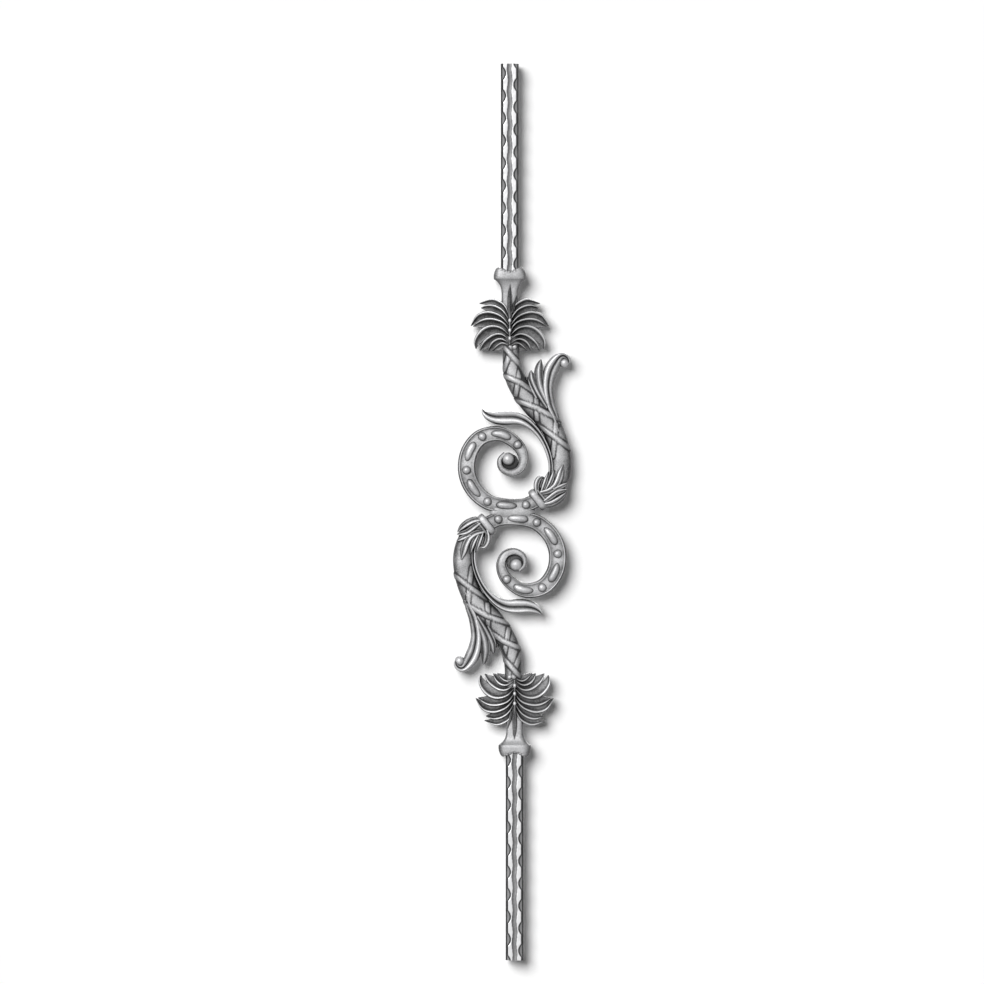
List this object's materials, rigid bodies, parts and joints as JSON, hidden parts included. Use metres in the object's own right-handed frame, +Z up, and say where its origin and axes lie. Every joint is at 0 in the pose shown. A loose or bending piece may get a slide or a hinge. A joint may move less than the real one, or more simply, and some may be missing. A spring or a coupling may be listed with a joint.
{
  "type": "stair baluster",
  "caption": "Iron stair baluster: S-shaped scroll casting with palm leaves and bound stems between plain hammered square bars, fixed at top and bottom to fill a stair railing.",
  "frame": {"origin": "on the mid-line of the baluster, level with the square-cut foot of the lower bar", "axes": "+Z up along the bars, X across the scrolls, Y through the thickness with the front towards -Y"},
  "size_m": [0.1322, 0.03, 1],
  "materials": {
    "casting": "bare, as cast and shot blasted",
    "bar": "bare, hammered"
  },
  "bodies": {
    "root": {"scroll_casting": "casting", "upper_bar": "bar", "lower_bar": "bar"}
  },
  "joints": []
}
